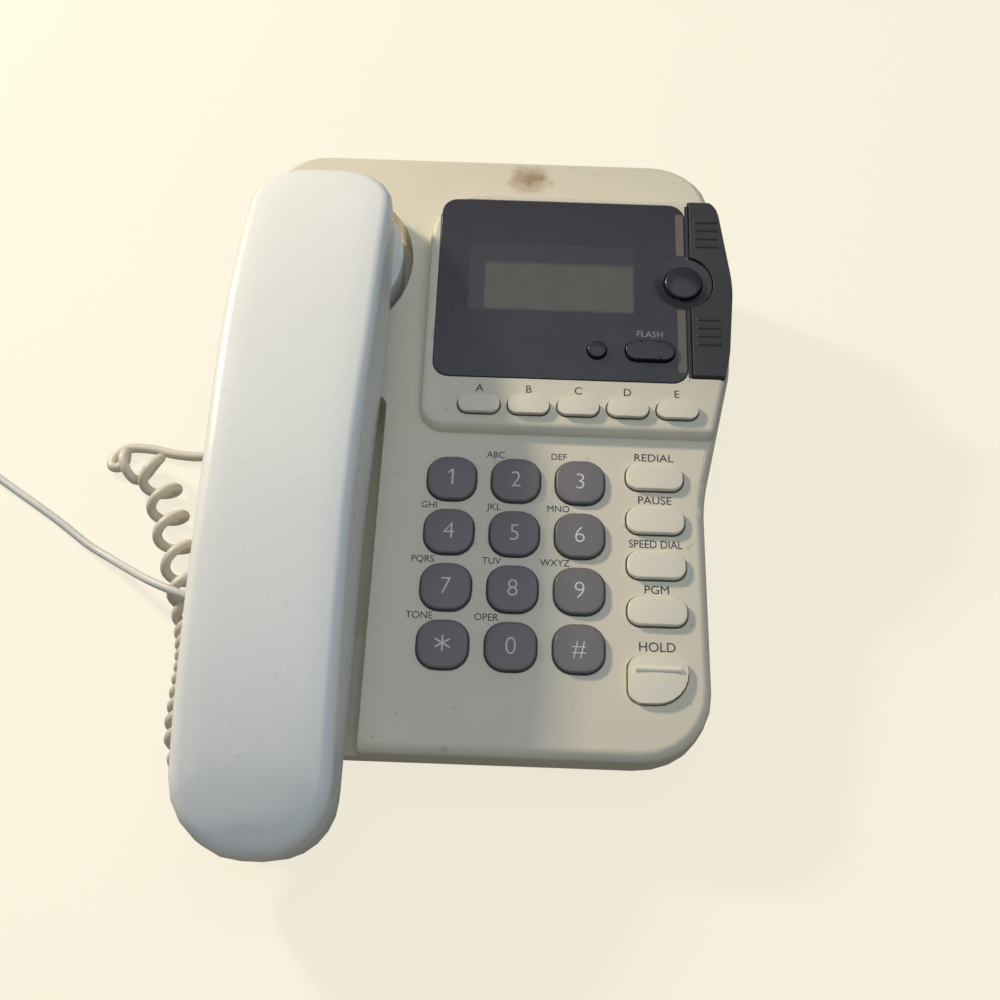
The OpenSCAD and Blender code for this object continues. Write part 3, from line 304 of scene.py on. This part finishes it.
def tube(name, path, radius, sides):
    along = directions(path)
    across = carried(along, (0, 0, 1))
    points = []
    for p, t, u in zip(path, along, across):
        v = t.cross(u)
        for k in range(sides):
            a = 2 * math.pi * k / sides
            points.append(p + radius * (math.cos(a) * u + math.sin(a) * v))
    faces = []
    for i in range(len(path) - 1):
        for k in range(sides):
            n = (k + 1) % sides
            faces.append((i * sides + k, i * sides + n, (i + 1) * sides + n, (i + 1) * sides + k))
    faces.append(tuple(reversed(range(sides))))
    faces.append(tuple(range((len(path) - 1) * sides, len(path) * sides)))
    mesh = bpy.data.meshes.new(name)
    mesh.from_pydata(points, [], faces)
    mesh.polygons.foreach_set("use_smooth", [True] * len(mesh.polygons))
    mesh.update()
    piece = bpy.data.objects.new(name, mesh)
    scene.collection.objects.link(piece)
    return piece


def pathLength(path):
    return sum((b - a).length for a, b in zip(path, path[1:]))


# curly handset cord: x, y, z, curls up to the next point, share of the curl radius
curly = {
    "name": "curlyCord", "wire": 3.2, "curl": 4.9, "rings": 22, "sides": 10,
    "route": [
        (-90.2, 118, 14.5, 0, 0), (-95, 117.5, 13.5, 0, 0), (-98.5, 113, 9.5, 0.3, 0),
        (-96.5, 106, 7.2, 0.9, 0.3), (-93.5, 97, 6.6, 2.3, 1), (-92.5, 87.5, 6.6, 2.3, 1),
        (-92.5, 78, 6.6, 2.2, 1), (-93.5, 68, 6.6, 1, 1), (-97.5, 60.5, 4.5, 0.2, 0.25),
        (-104, 56.2, 2.4, 0, 0), (-114, 56.6, 1.8, 0, 0), (-123.6, 58.6, 1.8, 0, 0),
        (-131, 57.5, 2.2, 0.2, 0.1), (-134, 51.5, 4, 0.6, 0.4), (-128.5, 48.5, 6.2, 0.9, 0.9),
        (-119.5, 46.5, 6.6, 1.1, 1), (-113.4, 35.5, 6.6, 1.1, 1), (-109, 24.1, 6.6, 1.6, 1),
        (-101.6, 6, 6.6, 2.2, 1), (-95.5, -10, 6.6, 2.8, 1), (-93, -22, 6.6, 2.9, 1),
        (-92.5, -34, 6.6, 2.7, 1), (-91.5, -46, 6.6, 2.2, 1), (-86, -58, 6.6, 2.1, 1),
        (-75, -64, 6.6, 1.1, 1), (-67.5, -68.5, 4.5, 0.2, 0.25), (-64.3, -69.8, 6.2, 0, 0),
        (-64, -69.3, 10.4, 0, 0),
    ],
}


def curlyPath(cord):
    route = cord["route"]
    axis, phases, swells = [], [], []
    turned = 0
    for i in range(len(route) - 1):
        steps = max(6, round(cord["rings"] * route[i][3]))
        for k in range(steps):
            t = k / steps
            axis.append(row(*onRoute(route, i, t)[:3]))
            phases.append(2 * math.pi * (turned + t * route[i][3]))
            swells.append(cord["curl"] * mm * (route[i][4] * (1 - ease(t)) + route[i + 1][4] * ease(t)))
        turned += route[i][3]
    along = directions(axis)
    across = carried(along, (0, 0, 1))
    path = [p + s * (math.cos(a) * u + math.sin(a) * t.cross(u))
            for p, s, a, u, t in zip(axis, swells, phases, across, along)]
    return path + [row(*route[-1][:3])]


curlyPoints = curlyPath(curly)
curlyCord = tube(curly["name"], curlyPoints, curly["wire"] / 2 * mm, curly["sides"])
curlyCord.data.materials.append(finish["curlyJacket"])
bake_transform(curlyCord)
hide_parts("handset_cord")
print("curly cord:", round(pathLength(curlyPoints), 3), "m of wire")

# line cord out to the left and its bundled rest
line = {
    "name": "lineCord", "wire": 2.6, "sides": 12,
    "route": [(-90.2, -6, 14.5), (-96, -5.2, 15.4), (-103, -2.5, 15), (-111, 2, 12.4), (-119, 8, 7.8),
              (-127, 14, 3.8), (-136, 20, 1.9), (-148, 29, 1.5), (-162, 38.5, 1.5), (-178, 49, 1.9)],
    "coilAt": (-207, 38.5), "coilRadius": 24, "pitch": 3.2, "layers": 4, "turns": 14, "start": 60, "end": 180,
    "lift": 90, "step": 8,
}
lifts = (line["layers"] - 1) * line["lift"]
layerTurn = (360 * line["turns"] + line["end"] - line["start"] - lifts) / line["layers"]
coilInner = line["coilRadius"] - line["pitch"] * layerTurn / 360


def coilPoint(cord, angle):
    whole = layerTurn + cord["lift"]
    layer = min(cord["layers"] - 1, math.floor(angle / whole))
    wound = min(angle - layer * whole, layerTurn)
    rise = ease((angle - layer * whole - layerTurn) / cord["lift"])
    inward = cord["coilRadius"] - cord["pitch"] * wound / 360
    outward = coilInner + cord["pitch"] * wound / 360
    radius = inward if layer % 2 == 0 else outward
    turn = math.radians(cord["start"] + angle)
    x = cord["coilAt"][0] + radius * math.cos(turn)
    y = cord["coilAt"][1] + radius * math.sin(turn)
    return (x, y, 1.2 + cord["wire"] / 2 + cord["pitch"] * (layer + rise))


sweep = line["layers"] * layerTurn + lifts
coilSteps = math.ceil(sweep / line["step"])
coilPoints = [coilPoint(line, sweep * k / coilSteps) for k in range(coilSteps + 1)]
last = Vector(coilPoints[-1])
farPlug = Vector((last.x + 1, last.y - 34, 3.6))
tail = [tuple(last), tuple(last + Vector((-0.3, -9, -1.4))), tuple(last + Vector((0.5, -18, -5))),
        tuple(farPlug + Vector((0, 6.2, -0.5)))]
linePoints = smoothRoute(line["route"] + [coilPoints[0]], 6) + coilPoints[1:] + smoothRoute(tail, 6)[1:]
linePoints = [row(*p) for p in linePoints]
lineCord = tube(line["name"], linePoints, line["wire"] / 2 * mm, line["sides"])
lineCord.data.materials.append(finish["lineJacket"])
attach(lineCord, "base")
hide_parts("line_cord", "line_cord_coil")
print("line cord:", round(pathLength(linePoints), 3), "m")


# CAD nodes: joined triangles, then crisp edges, or flat faces merged, soft edges and even shading
def dress(names, look, edge=0):
    for name in names:
        node = nodes[name]
        node.data.materials.clear()
        node.data.materials.append(finish[look])
        node.data.polygons.foreach_set("use_smooth", [True] * len(node.data.polygons))
        weld = node.modifiers.new("joined", "WELD")
        weld.merge_threshold = 0.002 * mm
        if not edge:
            crisp = node.modifiers.new("crispEdges", "EDGE_SPLIT")
            crisp.split_angle = math.radians(30)
            continue
        flat = node.modifiers.new("flatFaces", "DECIMATE")
        flat.decimate_type = "DISSOLVE"
        flat.angle_limit = math.radians(0.4)
        soft = node.modifiers.new("softEdges", "BEVEL")
        soft.width = edge * mm
        soft.segments = 3
        soft.limit_method = "ANGLE"
        soft.angle_limit = math.radians(38)
        soft.use_clamp_overlap = False
        soft.miter_outer = "MITER_ARC"
        even = node.modifiers.new("evenShading", "WEIGHTED_NORMAL")
        even.weight = 60


dialNames = ["1", "2", "3", "4", "5", "6", "7", "8", "9", "star", "0", "hash"]
dialKeys = ["dial_key_" + name for name in dialNames]
touchKeys = ["one_touch_key_" + name for name in "abcde"]
functionKeys = ["redial_key", "pause_key", "speed_dial_key", "program_key"]
dressing = [
    {"nodes": ["top_cover"], "look": "housing", "edge": 0.3},
    {"nodes": ["bottom_cover", "battery_door"], "look": "housing", "edge": 0.25},
    {"nodes": ["handset_back_shell"], "look": "handset", "edge": 0.25},
    {"nodes": ["handset_front_shell"], "look": "handset"},
    {"nodes": functionKeys, "look": "creamKeys", "edge": 0.35},
    {"nodes": touchKeys + ["hold_key"], "look": "creamKeys"},
    {"nodes": ["hook_plunger"], "look": "creamKeys", "edge": 0.3},
    {"nodes": dialKeys, "look": "greyKeys", "edge": 0.45},
    {"nodes": ["display_lens"], "look": "darkPanel", "edge": 0.15},
    {"nodes": ["select_button", "round_key", "flash_key"], "look": "darkPanel", "edge": 0.3},
    {"nodes": ["scroll_rocker"], "look": "charcoal", "edge": 0.15},
    {"nodes": ["ringer_switch", "dial_mode_switch", "hook_switch", "line_jack", "base_handset_jack",
               "handset_jack", "cord_tie", "receiver_capsule", "microphone", "ringer"],
     "look": "charcoal", "edge": 0.15},
    {"nodes": ["keymat"], "look": "contactRubber"},
    {"nodes": ["feet"], "look": "footRubber", "edge": 0.3},
    {"nodes": ["base_screws", "board_screws", "handset_screws", "handset_weight", "battery_contacts"],
     "look": "steel", "edge": 0.1},
    {"nodes": ["main_board", "display_board"], "look": "board"},
    {"nodes": ["batteries"], "look": "cells", "edge": 0.3},
    {"nodes": ["lcd_module"], "look": "lcdFrame", "edge": 0.2},
    {"nodes": ["handset_cord_plug_base", "handset_cord_plug_handset", "line_cord_plugs"], "look": "clearPlug",
     "edge": 0.2},
]
for group in dressing:
    dress(group["nodes"], group["look"], group.get("edge", 0))
print("CAD nodes dressed:", sum(len(group["nodes"]) for group in dressing))


# flat pieces laid on a sloped frame: an outline in millimetres, made a thin plate with its own map
def plate(name, outline, top, thick, sloped, look, body):
    count = len(outline)
    points = [(x, y, top) for x, y in outline] + [(x, y, top - thick) for x, y in outline]
    faces = [tuple(range(count)), tuple(reversed(range(count, 2 * count)))]
    faces += [(k, k + count, (k + 1) % count + count, (k + 1) % count) for k in range(count)]
    mesh = bpy.data.meshes.new(name)
    mesh.from_pydata([sloped @ Vector(p) * mm for p in points], [], faces)
    layer = mesh.uv_layers.new(name="flat")
    for loop in mesh.loops:
        x, y = points[loop.vertex_index][:2]
        layer.data[loop.index].uv = (x / 100, y / 100)
    mesh.update()
    mesh.materials.append(look)
    piece = bpy.data.objects.new(name, mesh)
    scene.collection.objects.link(piece)
    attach(piece, body)
    return piece


def roundedBox(x0, y0, x1, y1, radius, steps=6):
    outline = []
    for cx, cy, start in ((x1 - radius, y0 + radius, -90), (x1 - radius, y1 - radius, 0),
                          (x0 + radius, y1 - radius, 90), (x0 + radius, y0 + radius, 180)):
        for k in range(steps + 1):
            a = math.radians(start + 90 * k / steps)
            outline.append((cx + radius * math.cos(a), cy + radius * math.sin(a)))
    return outline


# display window: dark surround, partly its black border and partly painted shade of the recess walls under the top
# and left edges, with dull glass inside it
window = {"box": (-17, 40.5, 35.5, 65.2), "corner": 1.2, "glass": (-11.9, 41.2, 34.9, 58.4), "top": 0.23}


def windowLook():
    material, tree, shader, coords = newMaterial("displayWindow")
    parts = tree.nodes.new("ShaderNodeSeparateXYZ")
    tree.links.new(coords.outputs["UV"], parts.inputs[0])
    x0, y0, x1, y1 = [v / 100 for v in window["glass"]]
    soft = 0.004
    left = span(tree, parts.outputs["X"], x0 - soft, x0 + soft, 0, 1)
    right = span(tree, parts.outputs["X"], x1 - soft, x1 + soft, 1, 0)
    low = span(tree, parts.outputs["Y"], y0 - soft, y0 + soft, 0, 1)
    # the glass fades out further under the top edge: painted shade
    high = span(tree, parts.outputs["Y"], y1 - 2.5 * soft, y1 + soft, 1, 0)
    inside = sums(tree, "MULTIPLY", sums(tree, "MULTIPLY", left, right), sums(tree, "MULTIPLY", low, high))
    cloud = span(tree, noise(tree, coords.outputs["UV"], 14, 3), 0.3, 0.7, 0, 1)
    glass = mix(tree, cloud, linear(69, 69, 56), linear(77, 77, 64))
    tree.links.new(mix(tree, inside, linear(24, 22, 26), glass), shader.inputs["Base Color"])
    shader.inputs["Roughness"].default_value = 0.22
    smear = noise(tree, coords.outputs["UV"], 30, 5, 0.7)
    tree.links.new(span(tree, smear, 0.3, 0.7, 0.1, 0.2), shader.inputs["Coat Roughness"])
    shader.inputs["Coat Weight"].default_value = 0.6
    return material


displayWindow = plate("displayWindow", roundedBox(*window["box"], window["corner"]), window["top"], 0.03,
                      platformFrame, windowLook(), "base")

# grey strips along the panel's right edge, a painted highlight of its bevelled edge, and dark strips over the rib
# between it and the rocker, painted shade of the groove there
strips = [
    {"name": "panelHighlightFront", "box": (48.7, 20.5, 51.2, 42.6), "top": 0.225, "look": "edgeHighlight"},
    {"name": "panelHighlightBack", "box": (48.7, 62.8, 51.2, 78.5), "top": 0.225, "look": "edgeHighlight"},
    {"name": "jointShadeFront", "box": (51.76, 18.8, 52.79, 43.3), "top": 0.06, "look": "charcoal"},
    {"name": "jointShadeBack", "box": (51.76, 62.1, 52.79, 82), "top": 0.06, "look": "charcoal"},
]
for strip in strips:
    piece = plate(strip["name"], roundedBox(*strip["box"], 0.4), strip["top"], 0.04, platformFrame,
                  finish[strip["look"]], "base")
print("display window and strips made")


# dark ring around each key, painted shade of the gap between key and housing: a thin ring between two outlines
def gapShadeRing(name, inner, outer, sloped, top):
    count = len(inner)
    points = [(x, y, top) for x, y in inner + outer]
    faces = [(k, k + count, (k + 1) % count + count, (k + 1) % count) for k in range(count)]
    mesh = bpy.data.meshes.new(name)
    mesh.from_pydata([sloped @ Vector(p) * mm for p in points], [], faces)
    mesh.update()
    mesh.materials.append(finish["charcoal"])
    piece = bpy.data.objects.new(name, mesh)
    scene.collection.objects.link(piece)
    thick = piece.modifiers.new("thick", "SOLIDIFY")
    thick.thickness = 0.02 * mm
    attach(piece, "base")


def boxAt(x, y, wide, deep, radius, grow):
    halfWide, halfDeep = wide / 2 + grow, deep / 2 + grow
    return roundedBox(x - halfWide, y - halfDeep, x + halfWide, y + halfDeep, radius + grow)


# key places: dial field, function column and one-touch row
dialField = {"pitch": (19, 17.2), "size": (14.1, 13.85, 5.5), "band": 0.5}
functionColumn = {"x": 41.1, "top": 28.3, "pitch": 14.1, "size": (16.8, 8.3, 3.5), "band": 0.42}
touchRow = {"left": -12, "pitch": 15, "y": 7.4, "size": (12.4, 5.7, 2.75), "band": 0.4}


def dialPlace(i):
    return ((i % 3 - 1) * dialField["pitch"][0], (1.5 - i // 3) * dialField["pitch"][1])


def functionPlace(k):
    return (functionColumn["x"], functionColumn["top"] - functionColumn["pitch"] * k)


def touchPlace(k):
    return (touchRow["left"] + touchRow["pitch"] * k, touchRow["y"])


# rings of painted shade around the dial, function and one-touch keys
keyGapShades = [("gapShadeDial" + dialNames[i], dialPlace(i), dialField, deckFrame) for i in range(12)]
keyGapShades += [("gapShadeFunction" + str(k), functionPlace(k), functionColumn, deckFrame) for k in range(4)]
keyGapShades += [("gapShadeTouch" + str(k), touchPlace(k), touchRow, platformFrame) for k in range(5)]
ringStart, ringTop = 0.06, 0.03
for name, at, field, sloped in keyGapShades:
    gapShadeRing(name, boxAt(*at, *field["size"], ringStart), boxAt(*at, *field["size"], field["band"]), sloped, ringTop)
print("key gaps made:", len(keyGapShades))


# lettering: generic words and digits, centred at a point of a sloped frame
capHeight = 0.7


def lettering(name, words, at, height, sloped, look, body, wide=1, weight=0):
    bpy.ops.object.text_add()
    text = bpy.context.object
    text.data.body = words
    text.data.align_x = "CENTER"
    text.data.extrude = 0.02
    text.data.offset = weight
    text.data.resolution_u = 4
    bpy.ops.object.convert(target="MESH")
    piece = bpy.context.object
    piece.name = name
    piece.data.name = name
    scale = height / capHeight
    xs = [v.co.x for v in piece.data.vertices]
    middle = (min(xs) + max(xs)) / 2
    fit = Matrix.Translation(at) @ Matrix.Diagonal((scale * wide, scale, 1, 1))
    fit = fit @ Matrix.Translation((-middle, -capHeight / 2, 0))
    piece.data.transform(Matrix.Scale(mm, 4) @ sloped @ fit)
    piece.data.materials.clear()
    piece.data.materials.append(look)
    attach(piece, body)
    return piece


keyTop = 1.83
inkTop = 0.02
digit = {"height": 5.2, "wide": 0.95, "weight": -0.014}
caption = {"height": 2.1, "wide": 0.95, "rise": 8.7, "left": {3: -6.3, 4: -7.1}}
dialMarks = ["1", "2", "3", "4", "5", "6", "7", "8", "9", "*", "0", "#"]
dialLetters = ["", "ABC", "DEF", "GHI", "JKL", "MNO", "PQRS", "TUV", "WXYZ", "TONE", "OPER", ""]
for i, (node, mark, letters) in enumerate(zip(dialKeys, dialMarks, dialLetters)):
    x, y = dialPlace(i)
    if mark not in "1*":
        lettering("mark_" + dialNames[i], mark, (x, y, keyTop), digit["height"], deckFrame, finish["whiteInk"], node,
                  digit["wide"], digit["weight"])
    if letters:
        at = (x + caption["left"][len(letters)], y + caption["rise"], inkTop)
        lettering("letters_" + dialNames[i], letters, at, caption["height"], deckFrame, finish["darkInk"], "base",
                  caption["wide"])

words = [
    {"name": "wordRedial", "text": "REDIAL", "at": (41.1, 35.2), "height": 2.5, "wide": 1.03},
    {"name": "wordPause", "text": "PAUSE", "at": (41.1, 21.1), "height": 2.5, "wide": 1.0},
    {"name": "wordSpeedDial", "text": "SPEED DIAL", "at": (41.1, 7), "height": 2.5, "wide": 0.85},
    {"name": "wordProgram", "text": "PGM", "at": (41.1, -7.1), "height": 2.5, "wide": 1.03},
    {"name": "wordHold", "text": "HOLD", "at": (40.9, -24.2), "height": 2.8, "wide": 0.95},
]
for word in words:
    lettering(word["name"], word["text"], (*word["at"], inkTop), word["height"], deckFrame, finish["darkInk"],
              "base", word["wide"])
touchLetters = {"y": 13.2, "height": 2.5}
for k, letter in enumerate("ABCDE"):
    at = (touchPlace(k)[0], touchLetters["y"], inkTop)
    lettering("wordTouch" + letter, letter, at, touchLetters["height"], platformFrame, finish["darkInk"], "base")
flashWord = {"at": (40, 33.7, 0.22), "height": 2.1}
lettering("wordFlash", "FLASH", flashWord["at"], flashWord["height"], platformFrame, finish["greyInk"], "base")

# the one and the star: a flagged stem and three crossed bars
flagged = [(-0.05, -2.6), (0.5, -2.6), (0.5, 2.6), (0.12, 2.6), (-1.1, 1.6), (-1.1, 1.05), (-0.05, 1.8)]
markTop, markThick = keyTop + inkTop, 0.03
oneX, oneY = dialPlace(0)
plate("mark_1", [(x + oneX, y + oneY) for x, y in flagged], markTop, markThick, deckFrame, finish["whiteInk"],
      "dial_key_1")
bar = {"reach": 2.4, "half": 0.24, "step": 0.004}
corners = [(-bar["reach"], -bar["half"]), (bar["reach"], -bar["half"]), (bar["reach"], bar["half"]),
           (-bar["reach"], bar["half"])]
for k in range(3):
    a = math.radians(90 + 60 * k)
    along, across = Vector((math.cos(a), math.sin(a))), Vector((-math.sin(a), math.cos(a)))
    outline = [tuple(Vector(dialPlace(9)) + along * u + across * v) for u, v in corners]
    plate("mark_star_" + str(k), outline, markTop + bar["step"] * k, markThick, deckFrame, finish["whiteInk"],
          "dial_key_star")
print("lettering made")
